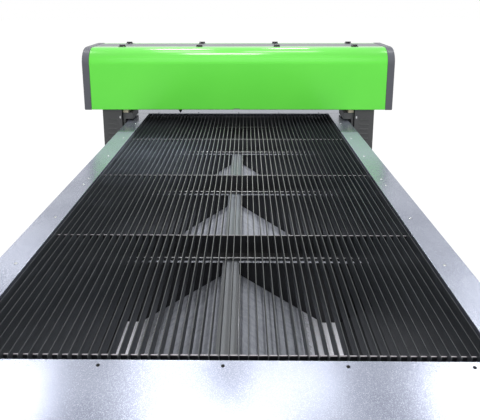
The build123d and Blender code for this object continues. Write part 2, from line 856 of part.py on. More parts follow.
spine_under = cover_top_z - cover_inset - spine_sheet
with BuildPart() as spine_brackets:
    for x in hinge_xs:
        with BuildSketch(Plane.YZ.offset(x - bracket_sheet / 2)):
            with BuildLine():
                Polyline(
                    (cross_rear_y - bracket_foot, cross_top_z),
                    (cross_rear_y, cross_top_z),
                    (cross_rear_y, spine_under - bracket_bend),
                    (spine_rear - spine_lip, spine_under - spine_lip),
                    (spine_rear - spine_lip, spine_under),
                    (spine_front + spine_lip, spine_under),
                    (spine_front + spine_lip, spine_under - spine_lip),
                    (cross_rear_y - bracket_foot, spine_under - bracket_bend),
                    close=True,
                )
            make_face()
        extrude(amount=bracket_sheet)
save(spine_brackets.part, "spine_brackets")

# Laser tube on its tray behind the beam, and the mirrors that turn its beam to the head
with BuildPart() as tube_tray:
    tray_x = (-cover_half, cover_half)
    block(tray_x, (cross_rear_y, gantry_rear - tray_end_gap), (tray_z, tray_z + tray_sheet))
    block(tray_x, (cross_rear_y, cross_rear_y + tray_sheet), (tray_z, tray_z + tray_lip))
save(tube_tray.part, "tube_tray")

with BuildPart() as laser_tube:
    with BuildSketch(Plane.YZ.offset(-tube_half)):
        with Locations((tube_y, tube_z)):
            Circle(tube_radius)
    extrude(amount=2 * tube_half)
    with BuildSketch(Plane.YZ.offset(-tube_half - tube_neck_length)):
        with Locations((tube_y, tube_z)):
            Circle(tube_neck_radius)
    extrude(amount=2 * (tube_half + tube_neck_length))
    with BuildSketch(Plane.YZ.offset(-tube_half + tube_glass)):
        with Locations((tube_y, tube_z)):
            Circle(tube_radius - tube_glass)
    extrude(amount=2 * (tube_half - tube_glass), mode=Mode.SUBTRACT)
    with BuildSketch(Plane.YZ.offset(-tube_half - tube_neck_length)):
        with Locations((tube_y, tube_z)):
            Circle(tube_outlet)
    extrude(amount=2 * (tube_half + tube_neck_length), mode=Mode.SUBTRACT)
save(laser_tube.part, "laser_tube")

with BuildPart() as tube_holders:
    with BuildSketch(Plane.YZ.offset(holder_offset - holder_thickness / 2)):
        with Locations((tube_y, tube_z)):
            Circle(tube_radius + holder_rim)
        with Locations((tube_y, (tube_z + tray_z + tray_sheet) / 2)):
            Rectangle(holder_stem, tube_z - tray_z - tray_sheet)
        with Locations((tube_y, tray_z + tray_sheet + holder_rim / 2)):
            Rectangle(holder_foot, holder_rim)
        with Locations((tube_y, tube_z)):
            Circle(tube_radius + holder_gap, mode=Mode.SUBTRACT)
    extrude(amount=holder_thickness)
    mirror(about=Plane.YZ)
save(tube_holders.part, "tube_holders")

mirror_mid = mirror_x - mirror_size / 2
mirror_top = tube_z + mirror_size / 2
with BuildPart() as turning_mirrors:
    for mirror_y, seat, inward in (
        (tube_y, tray_z + tray_sheet, mirror_size / 2),
        (lens_y, cross_top_z + mirror_plate, -mirror_size / 2),
    ):
        with BuildSketch(Plane.XY.offset(seat)):
            with BuildLine():
                Polyline(
                    (mirror_x - mirror_size, mirror_y - inward),
                    (mirror_x, mirror_y - inward),
                    (mirror_x, mirror_y),
                    (mirror_mid, mirror_y + inward),
                    (mirror_x - mirror_size, mirror_y + inward),
                    close=True,
                )
            make_face()
        extrude(amount=mirror_top - seat)
    block(
        (mirror_x - mirror_size, mirror_x),
        (lens_y - mirror_size / 2, cross_rear_y),
        (cross_top_z, cross_top_z + mirror_plate),
    )
    with Locations(Location((mirror_mid, (lens_y + tube_y) / 2, tube_z), (90, 0, 0))):
        Cylinder(mirror_aperture, tube_y - lens_y, mode=Mode.SUBTRACT)
    with BuildSketch(Plane.YZ.offset(mirror_x - mirror_size)):
        with Locations((lens_y, tube_z), (tube_y, tube_z)):
            Circle(mirror_aperture)
    extrude(amount=mirror_size / 2, mode=Mode.SUBTRACT)
save(turning_mirrors.part, "turning_mirrors")

# Cross drive: motor at the left end, idler at the right, belt loop above the beam
with BuildPart() as x_motor:
    with BuildSketch(Plane.XY.offset(cross_top_z - x_motor_length)):
        with Locations((x_motor_x, x_axis_y)):
            x_motor_face = Rectangle(x_motor_size, x_motor_size)
        chamfer(x_motor_face.vertices(), length=x_motor_corner)
    extrude(amount=x_motor_length)
save(x_motor.part, "x_motor")

x_plate_front = x_axis_y - x_motor_size / 2
x_plate_rear = cross_front_y + x_plate_reach
with BuildPart() as x_drive_brackets:
    for x in (x_motor_x, x_idler_x):
        block(
            (x - x_plate_width / 2, x + x_plate_width / 2),
            (x_plate_front, x_plate_rear),
            (cross_top_z, cross_top_z + x_plate),
        )
    with Locations((x_motor_x, x_axis_y, cross_top_z + x_plate / 2)):
        Cylinder(x_motor_hole, x_plate, mode=Mode.SUBTRACT)
    with BuildSketch(Plane.XY.offset(cross_top_z + x_plate)):
        with Locations((x_idler_x, x_axis_y)):
            Circle(x_axle_radius)
    extrude(amount=x_pulley_lift + x_pulley_width)
save(x_drive_brackets.part, "x_drive_brackets")

with BuildPart() as x_belt:
    with BuildSketch(Plane.XY.offset(x_belt_z)):
        with Locations(((x_motor_x + x_idler_x) / 2, x_axis_y)):
            SlotCenterToCenter(x_idler_x - x_motor_x, 2 * (x_belt_inner + belt_thickness))
            SlotCenterToCenter(x_idler_x - x_motor_x, 2 * x_belt_inner, mode=Mode.SUBTRACT)
    extrude(amount=x_belt_width)
save(x_belt.part, "x_belt")

with BuildPart() as x_motor_pulley:
    with BuildSketch(Plane.XY.offset(cross_top_z + running_gap)):
        with Locations((x_motor_x, x_axis_y)):
            Circle(x_axle_radius)
    extrude(amount=x_plate + x_pulley_lift)
    with BuildSketch(Plane.XY.offset(x_pulley_z)):
        with Locations((x_motor_x, x_axis_y)):
            Circle(x_pulley_radius)
    extrude(amount=x_pulley_width)
save(x_motor_pulley.part, "x_motor_pulley")

with BuildPart() as x_idler_pulley:
    with BuildSketch(Plane.XY.offset(cross_top_z + x_plate + running_gap)):
        with Locations((x_idler_x, x_axis_y)):
            Circle(x_spacer_radius)
            Circle(x_axle_radius + fit_clearance, mode=Mode.SUBTRACT)
    extrude(amount=x_pulley_lift)
    with BuildSketch(Plane.XY.offset(x_pulley_z)):
        with Locations((x_idler_x, x_axis_y)):
            Circle(x_pulley_radius)
            Circle(x_axle_radius + fit_clearance, mode=Mode.SUBTRACT)
    extrude(amount=x_pulley_width)
save(x_idler_pulley.part, "x_idler_pulley")

# Hinged covers: flat top, rounded shoulder, flat face and a bottom lip with a notch for the fingers
cover_length = 2 * (cover_half - cover_gap)
skin_top = cover_top_z - cover_inset
hinge_edge = hinge_row - cover_inset - cover_gap
bend = cover_radius - cover_inset
outer_mid = bend * (1 - diagonal)
inner_mid = bend - (bend - cover_sheet) * diagonal
front_lip = leg_front - cover_inset - stop_gap
for name, face_y, inward, lip_z, lip in (
    ("front_cover", gantry_front + cover_inset, 1, bed_height + cover_bottom, front_lip),
    ("rear_cover", gantry_rear - cover_inset, -1, bed_height + rear_bottom, rear_lip),
):
    # Drawn from its outer face inwards, with height as the second coordinate
    cover_end = Plane((-inward * cover_length / 2, face_y, 0), x_dir=(0, inward, 0), z_dir=(inward, 0, 0))
    with BuildPart() as cover:
        with BuildSketch(cover_end):
            with BuildLine():
                Line((hinge_edge, skin_top), (bend, skin_top))
                ThreePointArc((bend, skin_top), (outer_mid, skin_top - outer_mid), (0, skin_top - bend))
                Polyline(
                    (0, skin_top - bend),
                    (0, lip_z),
                    (lip, lip_z),
                    (lip, lip_z + cover_sheet),
                    (cover_sheet, lip_z + cover_sheet),
                    (cover_sheet, skin_top - bend),
                )
                ThreePointArc(
                    (cover_sheet, skin_top - bend),
                    (inner_mid, skin_top - inner_mid),
                    (bend, skin_top - cover_sheet),
                )
                Polyline(
                    (bend, skin_top - cover_sheet),
                    (hinge_edge, skin_top - cover_sheet),
                    (hinge_edge, skin_top),
                )
            make_face()
        extrude(amount=cover_length)
        lip_edges = edges().filter_by(Axis.X).group_by(Axis.Z)
        outermost = 0 if inward > 0 else -1
        fillet(lip_edges[0].sort_by(Axis.Y)[outermost], radius=lip_bend)
        fillet(lip_edges[1].sort_by(Axis.Y)[outermost], radius=lip_bend - cover_sheet)
        with BuildSketch(Plane.XY.offset(lip_z)):
            with Locations((pull_offset, face_y)):
                Rectangle(pull_width, 2 * pull_depth)
        extrude(amount=pull_height, mode=Mode.SUBTRACT)
    save(cover.part, name)

# Hinges: a fixed block on the spine, a leaf on the cover and a pin through both
leaf_top = skin_top + hinge_leaf_sheet
leaf_start = hinge_radius + cover_gap
knuckle_end = hinge_half - hinge_knuckle / 2
moving_half = hinge_knuckle / 2 - running_gap
fixed_knuckles = [(-hinge_half, knuckle_end), (hinge_knuckle / 2, knuckle_end)]
moving_knuckles = [(-moving_half, 2 * moving_half)]
fixed_bore = pin_radius + fit_clearance / 2
moving_bore = pin_radius + fit_clearance
for name, rows, knuckles, bore in (
    ("hinge_blocks", ((front_hinge_y, 1), (rear_hinge_y, -1)), fixed_knuckles, fixed_bore),
    ("front_hinge_leaves", ((front_hinge_y, -1),), moving_knuckles, moving_bore),
    ("rear_hinge_leaves", ((rear_hinge_y, 1),), moving_knuckles, moving_bore),
):
    with BuildPart() as hinge:
        for hinge_y, away in rows:
            leaf_y = sorted((hinge_y + away * leaf_start, hinge_y + away * (leaf_start + hinge_leaf)))
            for x in hinge_xs:
                for knuckle_start, knuckle_length in knuckles:
                    with BuildSketch(Plane.YZ.offset(x + knuckle_start)):
                        with Locations((hinge_y, hinge_z)):
                            Circle(hinge_radius)
                        with Locations((hinge_y + away * leaf_start / 2, (hinge_z + skin_top) / 2)):
                            Rectangle(leaf_start, hinge_z - skin_top)
                        with Locations((hinge_y, hinge_z)):
                            Circle(bore, mode=Mode.SUBTRACT)
                    extrude(amount=knuckle_length)
                block((x - hinge_half, x + hinge_half), leaf_y, (skin_top, leaf_top))
    save(hinge.part, name)

with BuildPart() as hinge_pins:
    for x in hinge_xs:
        with BuildSketch(Plane.YZ.offset(x - hinge_half)):
            with Locations((front_hinge_y, hinge_z), (rear_hinge_y, hinge_z)):
                Circle(pin_radius)
        extrude(amount=2 * hinge_half)
save(hinge_pins.part, "hinge_pins")

# Head: a plate on the cross rail that carries the last mirror and the focus tube
head_x = (head_park - head_width / 2, head_park + head_width / 2)
with BuildPart() as head_plate_part:
    block(head_x, (head_plate_front, head_plate_rear), (bed_height + head_bottom, bed_height + head_top))
save(head_plate_part.part, "head_plate")

x_rail_mid = x_rail_z + x_rail_width / 2
with BuildPart() as x_bearing_blocks:
    for side in (-1, 1):
        block_mid = head_park + side * (head_width - x_block_length) / 2
        block(
            (block_mid - x_block_length / 2, block_mid + x_block_length / 2),
            (head_plate_rear, cross_front_y - x_block_lift),
            (x_rail_mid - x_block_width / 2, x_rail_mid + x_block_width / 2),
        )
    with BuildSketch(Plane.YZ.offset(head_x[0])):
        with Locations((cross_front_y - (x_rail_height + block_gap) / 2, x_rail_mid)):
            Rectangle(x_rail_height + block_gap, x_rail_width + 2 * block_gap)
    extrude(amount=head_width, mode=Mode.SUBTRACT)
save(x_bearing_blocks.part, "x_bearing_blocks")

belt_run_y = x_axis_y - x_belt_inner
clamp_half = x_block_length / 2
with BuildPart() as x_belt_clamp:
    block(
        (head_park - clamp_half, head_park + clamp_half),
        (belt_run_y - belt_thickness - x_plate, head_plate_front),
        (x_belt_z, x_belt_z + x_belt_width + x_plate),
    )
    block_cut = (belt_run_y - belt_thickness - belt_gap, belt_run_y + belt_gap)
    with BuildSketch(Plane.XY.offset(x_belt_z)):
        with Locations((head_park, (block_cut[0] + block_cut[1]) / 2)):
            Rectangle(2 * clamp_half, block_cut[1] - block_cut[0])
    extrude(amount=x_belt_width + belt_gap, mode=Mode.SUBTRACT)
save(x_belt_clamp.part, "x_belt_clamp")

half = bracket_size / 2
with BuildPart() as head_bracket:
    block(
        (head_park - half, head_park + half),
        (lens_y - half, head_plate_front),
        (bed_height + bracket_bottom, bed_height + bracket_step),
    )
    block(
        (head_park - half, head_park + half),
        (lens_y - half, lens_y + half),
        (bed_height + bracket_step, bed_height + bracket_top),
    )
    chamfer(edges().filter_by(Axis.Y).group_by(Axis.Z)[-1].sort_by(Axis.X)[0], length=half)
    with Locations((head_park, lens_y, bed_height + (bracket_bottom + lens_top + lens_room) / 2)):
        Cylinder(lens_radius, lens_top + lens_room - bracket_bottom, mode=Mode.SUBTRACT)
    with Locations((head_park, lens_y, (bed_height + lens_top + lens_room + tube_z) / 2)):
        Cylinder(mirror_aperture, tube_z - bed_height - lens_top - lens_room, mode=Mode.SUBTRACT)
    with Locations(Location((head_park + half / 2, lens_y, tube_z), (0, 90, 0))):
        Cylinder(mirror_aperture, half, mode=Mode.SUBTRACT)
    with Locations(Location((head_park, lens_y - half / 2, bed_height + screw_rise), (90, 0, 0))):
        Cylinder(lock_radius + fit_clearance, half, mode=Mode.SUBTRACT)
save(head_bracket.part, "head_bracket")

lens_seat_z = bed_height + lens_bottom + lens_seat
with BuildPart() as lens_tube:
    with BuildSketch(Plane.XY.offset(bed_height + lens_bottom)):
        with Locations((head_park, lens_y)):
            Circle(lens_radius - fit_clearance)
    extrude(amount=lens_top - lens_bottom)
    with BuildSketch(Plane.XY.offset(bed_height + lens_bottom)):
        with Locations((head_park, lens_y)):
            Circle(collar_radius)
    extrude(amount=collar_height)
    with BuildSketch(Plane.XY.offset(bed_height + lens_bottom)):
        with Locations((head_park, lens_y)):
            Circle(lens_bore)
    extrude(amount=lens_top - lens_bottom, mode=Mode.SUBTRACT)
    with BuildSketch(Plane.XY.offset(lens_seat_z)):
        with Locations((head_park, lens_y)):
            Circle(lens_disc + fit_clearance)
    extrude(amount=bed_height + lens_top - lens_seat_z, mode=Mode.SUBTRACT)
save(lens_tube.part, "lens_tube")

with BuildPart() as focus_lens:
    with BuildSketch(Plane.XY.offset(lens_seat_z)):
        with Locations((head_park, lens_y)):
            Circle(lens_disc)
    extrude(amount=lens_thickness)
save(focus_lens.part, "focus_lens")

nozzle_axis = Plane((head_park, lens_y, bed_height), x_dir=(1, 0, 0), z_dir=(0, -1, 0))
with BuildPart() as nozzle:
    with BuildSketch(nozzle_axis):
        with BuildLine():
            Polyline(
                (nozzle_bore, nozzle_tip),
                (nozzle_tip_radius, nozzle_tip),
                (nozzle_root_radius, lens_bottom - nozzle_neck),
                (nozzle_root_radius, lens_bottom),
                (lens_bore, lens_bottom),
                close=True,
            )
        make_face()
    revolve(axis=Axis((head_park, lens_y, bed_height), (0, 0, 1)))
save(nozzle.part, "nozzle")

knob_rear = lens_y - half - knob_gap
lock_tip = lens_y - lens_radius - running_gap
with BuildPart() as focus_screw:
    with BuildSketch(Plane.XZ.offset(-knob_rear)):
        with Locations((head_park, bed_height + screw_rise)):
            RegularPolygon(knob_radius, knob_sides)
    extrude(amount=knob_length)
    with BuildSketch(Plane.XZ.offset(-lock_tip)):
        with Locations((head_park, bed_height + screw_rise)):
            Circle(lock_radius)
    extrude(amount=lock_tip - knob_rear)
save(focus_screw.part, "focus_screw")
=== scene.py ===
import math

import bmesh
import bpy
from mathutils import Matrix, Vector


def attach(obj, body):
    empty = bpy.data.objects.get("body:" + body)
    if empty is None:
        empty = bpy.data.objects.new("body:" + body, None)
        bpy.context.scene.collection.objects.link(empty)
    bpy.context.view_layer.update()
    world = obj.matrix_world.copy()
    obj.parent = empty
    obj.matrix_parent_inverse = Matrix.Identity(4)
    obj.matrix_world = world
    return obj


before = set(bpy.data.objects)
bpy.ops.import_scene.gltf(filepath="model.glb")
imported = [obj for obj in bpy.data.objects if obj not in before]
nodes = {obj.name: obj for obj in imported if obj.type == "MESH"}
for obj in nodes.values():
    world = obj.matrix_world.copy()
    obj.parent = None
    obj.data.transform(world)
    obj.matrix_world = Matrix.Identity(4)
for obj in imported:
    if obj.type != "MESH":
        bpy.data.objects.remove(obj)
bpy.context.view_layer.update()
print("frame loaded:", len(nodes), "nodes")

mm = 0.001
across = (1, 0, 0)  # the machine's own directions
along = (0, 1, 0)
front = (0, -1, 0)
up = (0, 0, 1)


def paint(code):  # hex colour as written on screen, to linear light
    shades = [int(code[k:k + 2], 16) / 255 for k in (0, 2, 4)]
    return [c / 12.92 if c < 0.04045 else ((c + 0.055) / 1.055) ** 2.4 for c in shades] + [1]


class Wire:  # an output socket that takes part in Python expressions
    def __init__(self, owner, socket):
        self.owner = owner
        self.socket = socket

    def maths(self, operation, first, second):
        return self.owner.node("Math", {"operation": operation}, {0: first, 1: second})

    def __add__(self, other):
        return self.maths("ADD", self, other)

    def __sub__(self, other):
        return self.maths("SUBTRACT", self, other)

    def __rsub__(self, other):
        return self.maths("SUBTRACT", other, self)

    def __mul__(self, other):
        return self.maths("MULTIPLY", self, other)

    __radd__ = __add__
    __rmul__ = __mul__


class Nodes:  # a node tree and the one way to add to it
    def __init__(self, tree):
        self.tree = tree

    def feed(self, socket, value):
        if isinstance(value, Wire):
            self.tree.links.new(value.socket, socket)
        else:
            socket.default_value = value

    def node(self, kind, settings=None, sockets=None, output=0):
        made = self.tree.nodes.new("ShaderNode" + kind)
        for setting, value in (settings or {}).items():
            setattr(made, setting, value)
        for socket, value in (sockets or {}).items():
            self.feed(made.inputs[socket], value)
        return Wire(self, made.outputs[output])

    def seen(self):  # 1 for the camera, mirrors and glass, 0 for the light that falls on things
        camera, glossy, clear = [self.node("LightPath", output=f"Is {ray} Ray")
                                 for ray in ("Camera", "Glossy", "Transmission")]
        return self.node("Clamp", {}, {"Value": camera + glossy + clear})


class Finish(Nodes):  # a material on one Principled shader
    bevelSamples = 6
    edgeTurn = (0.03, 0.25)  # how far a softened edge turns away from its face

    def __init__(self, name):
        self.material = bpy.data.materials.new(name)
        self.material.use_nodes = True
        super().__init__(self.material.node_tree)
        self.shader = self.tree.nodes["Principled BSDF"]

    def surface(self, sockets):
        for socket, value in sockets.items():
            self.feed(self.shader.inputs[socket], value)
        return self.material

    def spot(self, stretch=(1, 1, 1)):  # place on the piece, in metres
        place = self.node("TexCoord", output="Object")
        return self.vector("MULTIPLY", place, stretch)

    def noise(self, scale, detail=2, stretch=(1, 1, 1)):
        return self.node("TexNoise", {}, {"Vector": self.spot(stretch), "Scale": scale, "Detail": detail})

    def cells(self, scale, weights):  # cells of random colour, and one number for each cell
        colour = self.node("TexVoronoi", {}, {"Vector": self.spot(), "Scale": scale}, "Color")
        return colour, self.vector("DOT_PRODUCT", colour, weights, "Value")

    def spread(self, value, low, high, bottom=0, top=1):
        limits = {"From Min": low, "From Max": high, "To Min": bottom, "To Max": top}
        return self.node("MapRange", {"clamp": True}, {"Value": value, **limits})

    def mix(self, factor, first, second):
        return self.node("Mix", {"data_type": "RGBA"}, {0: factor, 6: first, 7: second}, 2)

    def vector(self, operation, first, second, output=0):
        return self.node("VectorMath", {"operation": operation}, {0: first, 1: second}, output)

    def facing(self, axis):  # how far the surface turns towards an axis of the piece
        turn = self.node("TexCoord", output="Normal")
        return self.vector("DOT_PRODUCT", turn, axis, "Value")

    def distance(self, axis):  # how far out a spot lies along an axis
        return self.vector("DOT_PRODUCT", self.spot(), axis, "Value")

    def soften(self, radius):  # a normal that rounds the edges off
        return self.node("Bevel", {"samples": self.bevelSamples}, {"Radius": radius})

    def edge(self, radius):  # softened normal, and a mask of the edges it softens
        soft = self.soften(radius)
        plain = self.node("NewGeometry", output="Normal")
        turn = self.vector("DOT_PRODUCT", soft, plain, "Value")
        return soft, self.spread(1 - turn, *self.edgeTurn)

    def bump(self, relief, depth, normal):
        return self.node("Bump", {}, {"Height": relief, "Distance": depth, "Strength": 1, "Normal": normal})

    def shades(self, value, look, low=0.3, high=0.7):  # from a finish's shade to its colour
        return self.mix(self.spread(value, low, high), paint(look["shade"]), paint(look["colour"]))


def swing(noise, amount):  # a change to both sides of a noise's middle
    return (noise - 0.5) * amount


sheetBase = {
    "cloud": (2.2, 3), "grain": 700, "peel": 0.00004, "edge": 0.002, "wear": 0.35,
    "rough": 0.42, "cloudRough": 0.12, "specular": 0.5,
    "dust": 0.05, "dustColour": "c9c8c2", "dustFaces": (0.6, 1), "dustPatches": (0.35, 0.75),
    "dustRough": 0.4,
    "coat": 0.0, "coatRough": 0.1, "wallCoat": 1, "wallFaces": (0.3, 0.6),
    "deep": None, "shadedTopFaces": (0.1, 0.6),
    "corners": (), "cornerMetal": 0.9,  # direction, range of facing and share of two corners, partly worn bare and partly a painted highlight
    "darkerAlong": (), "darkerAlongColour": "1d1e20",  # start, end and share of a darkening along the table, painted shade where it lies under the parked gantry
}
paintLooks = {
    "coverGreen": {
        # the deep green over the rounded top is painted shade
        "colour": "68dd4b", "shade": "63d848", "worn": "93ec7d", "deep": "57ba3e", "rough": 0.34,
        "coat": 1.0, "coatRough": 0.14, "wallCoat": 0.3, "specular": 0.1, "peel": 0.00001, "dust": 0.0,
        "wear": 0.25, "edge": 0.003,
    },
    "capGrey": {
        "colour": "4b4d55", "shade": "474951", "worn": "85878a", "rough": 0.5, "coat": 0.15, "dust": 0.0,
        "edge": 0.004,
    },
    "legCharcoal": {"colour": "404143", "shade": "393a3c", "worn": "77787a", "rough": 0.5, "peel": 0.0001},
    "plateGrey": {"colour": "4c4d4f", "shade": "454648", "worn": "7c7d7f", "rough": 0.5},
    "frameGrey": {"colour": "565a60", "shade": "4c5056", "worn": "85898d", "rough": 0.5},
    "panelGrey": {"colour": "777b82", "shade": "6d7178", "worn": "a3a6aa", "rough": 0.48, "peel": 0.00008},
    "spineGrey": {"colour": "5c6064", "shade": "55595d", "worn": "9fa2a5", "rough": 0.45, "coat": 0.1},
    # bar: the front corners are partly worn bare, partly a painted highlight; the far end is painted shade
    # under the gantry
    "barBlack": {
        "colour": "17181b", "shade": "101114", "worn": "eef0f4", "rough": 0.3, "coat": 0.7, "dust": 0.03,
        "wear": 0.6, "edge": 0.003, "darkerAlong": ((0.7, 0.95, 0.95),),
        "corners": (((0, -0.707, 0.707), (0.85, 0.97), 0.35), ((0, -0.707, -0.707), (0.8, 0.95), 1.0)),
    },
    # ridge tubes: painted shade over the far bay under the gantry, and darker towards the front
    "ridgeGrey": {
        "colour": "959aa1", "shade": "8a9097", "worn": "b0b4b9", "rough": 0.42, "dust": 0.1,
        "darkerAlong": ((0.54, 0.68, 1), (-0.3, -0.9, 0.5)),
    },
    # bulkhead lips: the far end is painted shade under the gantry
    "lipGrey": {
        "colour": "c2c5cd", "shade": "b4b7c0", "worn": "e2e4e8", "rough": 0.4, "edge": 0.0006,
        "darkerAlong": ((0.7, 0.95, 0.95),),
    },
    "footCream": {"colour": "d8d0b4", "shade": "cbc3a6", "worn": "efe9d4", "rough": 0.45},
}


def paintedSheet(name, look):  # sprayed or powder-coated sheet metal
    finish = Finish(name)
    soft, edges = finish.edge(look["edge"])
    cloud = finish.noise(*look["cloud"])
    level = finish.facing(up)
    tone = finish.mix(edges * look["wear"], finish.shades(cloud, look), paint(look["worn"]))
    dust = finish.spread(level, *look["dustFaces"]) * finish.spread(cloud, *look["dustPatches"])
    dust = dust * look["dust"]
    tone = finish.mix(dust, tone, paint(look["dustColour"]))
    if look["deep"]:  # painted shade: a deeper colour over the rounded top, which holds back the light falling on it from above
        tone = finish.mix(finish.spread(level, *look["shadedTopFaces"]), tone, paint(look["deep"]))
    metal = 0
    if look["corners"]:  # the two rounded front corners are bare metal: partly paint rubbed off, partly a painted highlight along them
        upper, lower = [finish.spread(finish.facing(way), *faces) * share
                        for way, faces, share in look["corners"]]
        edgeMark = upper + lower
        tone = finish.mix(edgeMark, tone, paint(look["worn"]))
        metal = edgeMark * look["cornerMetal"]
    for start, end, share in look["darkerAlong"]:  # darker along the length; painted shade where it lies under the parked gantry
        smoke = finish.spread(finish.distance(along), start, end, 0, share)
        tone = finish.mix(smoke, tone, paint(look["darkerAlongColour"]))
    coat = look["coat"]
    if look["wallCoat"] < 1:  # the upright faces are duller than the rounded top
        coat = finish.spread(level, *look["wallFaces"], coat * look["wallCoat"], coat)
    return finish.surface({
        "Base Color": tone,
        "Metallic": metal,
        "Roughness": look["rough"] + swing(cloud, look["cloudRough"]) + dust * look["dustRough"],
        "Specular IOR Level": look["specular"],
        "Coat Weight": coat,
        "Coat Roughness": look["coatRough"],
        "Normal": finish.bump(finish.noise(look["grain"]), look["peel"], soft),
    })


metalBase = {
    "lines": 120, "stretch": (1, 1, 1), "depth": 0.00003, "lineRough": 0.2, "edge": 0.001, "edgeShare": 0.5,
    "smear": (8, 4), "smearPatches": (0.5, 0.75), "smearRough": 0.25, "dirt": 0.35,
    "bright": "f0f1f2", "stain": "6f7072",
}
metalLooks = {
    "railSteel": {"colour": "c9ccd0", "shade": "b3b7bc", "stretch": (8, 0.1, 8), "rough": 0.22},
    "blockSteel": {"colour": "b4b8bc", "shade": "9ea2a7", "stretch": (1, 6, 6), "rough": 0.3},
    "pulleyAluminium": {"colour": "d3d5d8", "shade": "bec1c5", "stretch": (6, 1, 1), "rough": 0.33},
    "bracketAluminium": {"colour": "c4c7cb", "shade": "b2b6ba", "stretch": (1, 1, 8), "rough": 0.38},
    "screwZinc": {"colour": "c6c8c9", "shade": "aeb1b3", "rough": 0.28, "lines": 600, "edge": 0.0004},
    "ductZinc": {"colour": "c3c7cc", "shade": "adb2b8", "lines": 60, "rough": 0.36},
    "footIron": {"colour": "8a8d90", "shade": "74777a", "rough": 0.42, "dirt": 0.6, "stain": "54504a"},
}


def bareMetal(name, look):  # ground or drawn metal with fine lines along one axis
    finish = Finish(name)
    soft, edges = finish.edge(look["edge"])
    lines = finish.noise(look["lines"], detail=3, stretch=look["stretch"])
    smear = finish.noise(*look["smear"])
    dirt = finish.spread(smear, *look["smearPatches"]) * look["dirt"]
    tone = finish.mix(dirt, finish.shades(lines, look), paint(look["stain"]))
    tone = finish.mix(edges * look["edgeShare"], tone, paint(look["bright"]))
    return finish.surface({
        "Base Color": tone,
        "Metallic": 1,
        "Roughness": look["rough"] + swing(lines, look["lineRough"]) + swing(smear, look["smearRough"]),
        "Normal": finish.bump(lines, look["depth"], soft),
    })


mouldBase = {
    "skin": (900, 3), "depth": 0.00004, "cloud": (12, 3), "cloudRough": 0.2, "edge": 0.0008, "wear": 0.3,
}
mouldLooks = {
    "motorBlack": {"colour": "232427", "shade": "1a1b1d", "worn": "5b5d60", "rough": 0.42},
    "hingeBlack": {"colour": "1d1e20", "shade": "151618", "worn": "57595c", "rough": 0.38},
    "holderBlack": {"colour": "232325", "shade": "1a1a1c", "worn": "48494b", "rough": 0.5},
    "nozzleBlack": {"colour": "1f2023", "shade": "17181a", "worn": "77797c", "rough": 0.3},
    "knobBlack": {"colour": "1b1b1d", "shade": "131315", "worn": "3f4043", "rough": 0.46},
    "screwBlack": {"colour": "0b0c0d", "shade": "070708", "worn": "141516", "rough": 0.95},
}


def moulded(name, look):  # plastic, rubber or cast pieces with a fine skin
    finish = Finish(name)
    soft, edges = finish.edge(look["edge"])
    cloud = finish.noise(*look["cloud"])
    return finish.surface({
        "Base Color": finish.mix(edges * look["wear"], finish.shades(cloud, look), paint(look["worn"])),
        "Roughness": look["rough"] + swing(cloud, look["cloudRough"]),
        "Normal": finish.bump(finish.noise(*look["skin"]), look["depth"], soft),
    })


flangeLook = {
    "colour": "8b90a0", "shade": "7f8495", "cloud": (5, 4), "cloudPatches": (0.35, 0.65), "cloudRough": 0.1,
    "flake": "bfc4d0", "flakes": 800, "flakeWeights": (0.5, 0.3, 0.2), "flakeChance": (0.55, 0.85),
    "flakeShare": 0.7, "flakeRough": 0.1, "tilt": 0.05, "edge": 0.001, "edgeShare": 0.5,
    "grain": 900, "grainDepth": 0.00004, "rough": 0.21, "metal": 0.7, "coat": 0.2, "coatRough": 0.16,
    "haze": "8f8da4", "hazeShare": 0.8, "hazeMetal": 0.3, "hazeRough": 0.1,
    "hazeStart": (-0.15, 0.25), "hazeEnd": (0.69, 0.73),
}


def flangeSilver(look):  # flake-grained silver coat, with each flake tilted its own way
    finish = Finish("flangeSilver")
    soft, edges = finish.edge(look["edge"])
    flakes, chance = finish.cells(look["flakes"], look["flakeWeights"])
    cloud = finish.noise(*look["cloud"])
    tone = finish.shades(cloud, look, *look["cloudPatches"])
    bright = finish.spread(chance, *look["flakeChance"]) * look["flakeShare"]
    tone = finish.mix(bright, tone, paint(look["flake"]))
    tone = finish.mix(edges * look["edgeShare"], tone, paint(look["flake"]))
    run = finish.distance(along)
    haze = finish.spread(run, *look["hazeStart"]) * finish.spread(run, *look["hazeEnd"], 1, 0)  # cutting dust
    tone = finish.mix(haze * look["hazeShare"], tone, paint(look["haze"]))
    lean = finish.vector("SUBTRACT", flakes, (0.5, 0.5, 0.5))  # each flake's colour gives its lean
    lean = finish.vector("MULTIPLY", lean, (look["tilt"],) * 3)
    tilted = finish.vector("NORMALIZE", finish.vector("ADD", soft, lean), (0, 0, 0))
    flakeRough = swing(cloud, look["cloudRough"]) + swing(chance, look["flakeRough"])
    return finish.surface({
        "Base Color": tone,
        "Metallic": finish.spread(haze, 0, 1, look["metal"], look["hazeMetal"]),
        "Roughness": look["rough"] + haze * look["hazeRough"] + flakeRough,
        "Coat Weight": look["coat"],
        "Coat Roughness": look["coatRough"],
        "Normal": finish.bump(finish.noise(look["grain"]), look["grainDepth"], tilted),
    })


hopperLook = {
    "colour": "dfe3ee", "shade": "ced2de", "rough": 0.13, "edge": 0.002, "edgeShare": 0.6, "bright": "f6f8fc",
    "crystals": 90, "crystalWeights": (0.4, 0.3, 0.3), "crystalTones": (0.2, 0.8), "crystalRough": 0.08,
    "crystalDepth": 0.00001, "stain": "a9adb8", "runs": (14, 4, (1, 3.5, 0.4)), "runPatches": (0.52, 0.75),
    "runShare": 0.5, "runRough": 0.1, "shineAlong": (-0.75, -0.1), "shine": (0.5, 0.05),
    # the near-white valley floor is painted light
    "floor": "f8f8ff", "paintedLightHeight": (0.373, 0.44), "paintedLightRough": 0.4,
    "outer": "2a2b2e", "outerFrom": (0.1, 0.15), "outerRough": 0.2,
}


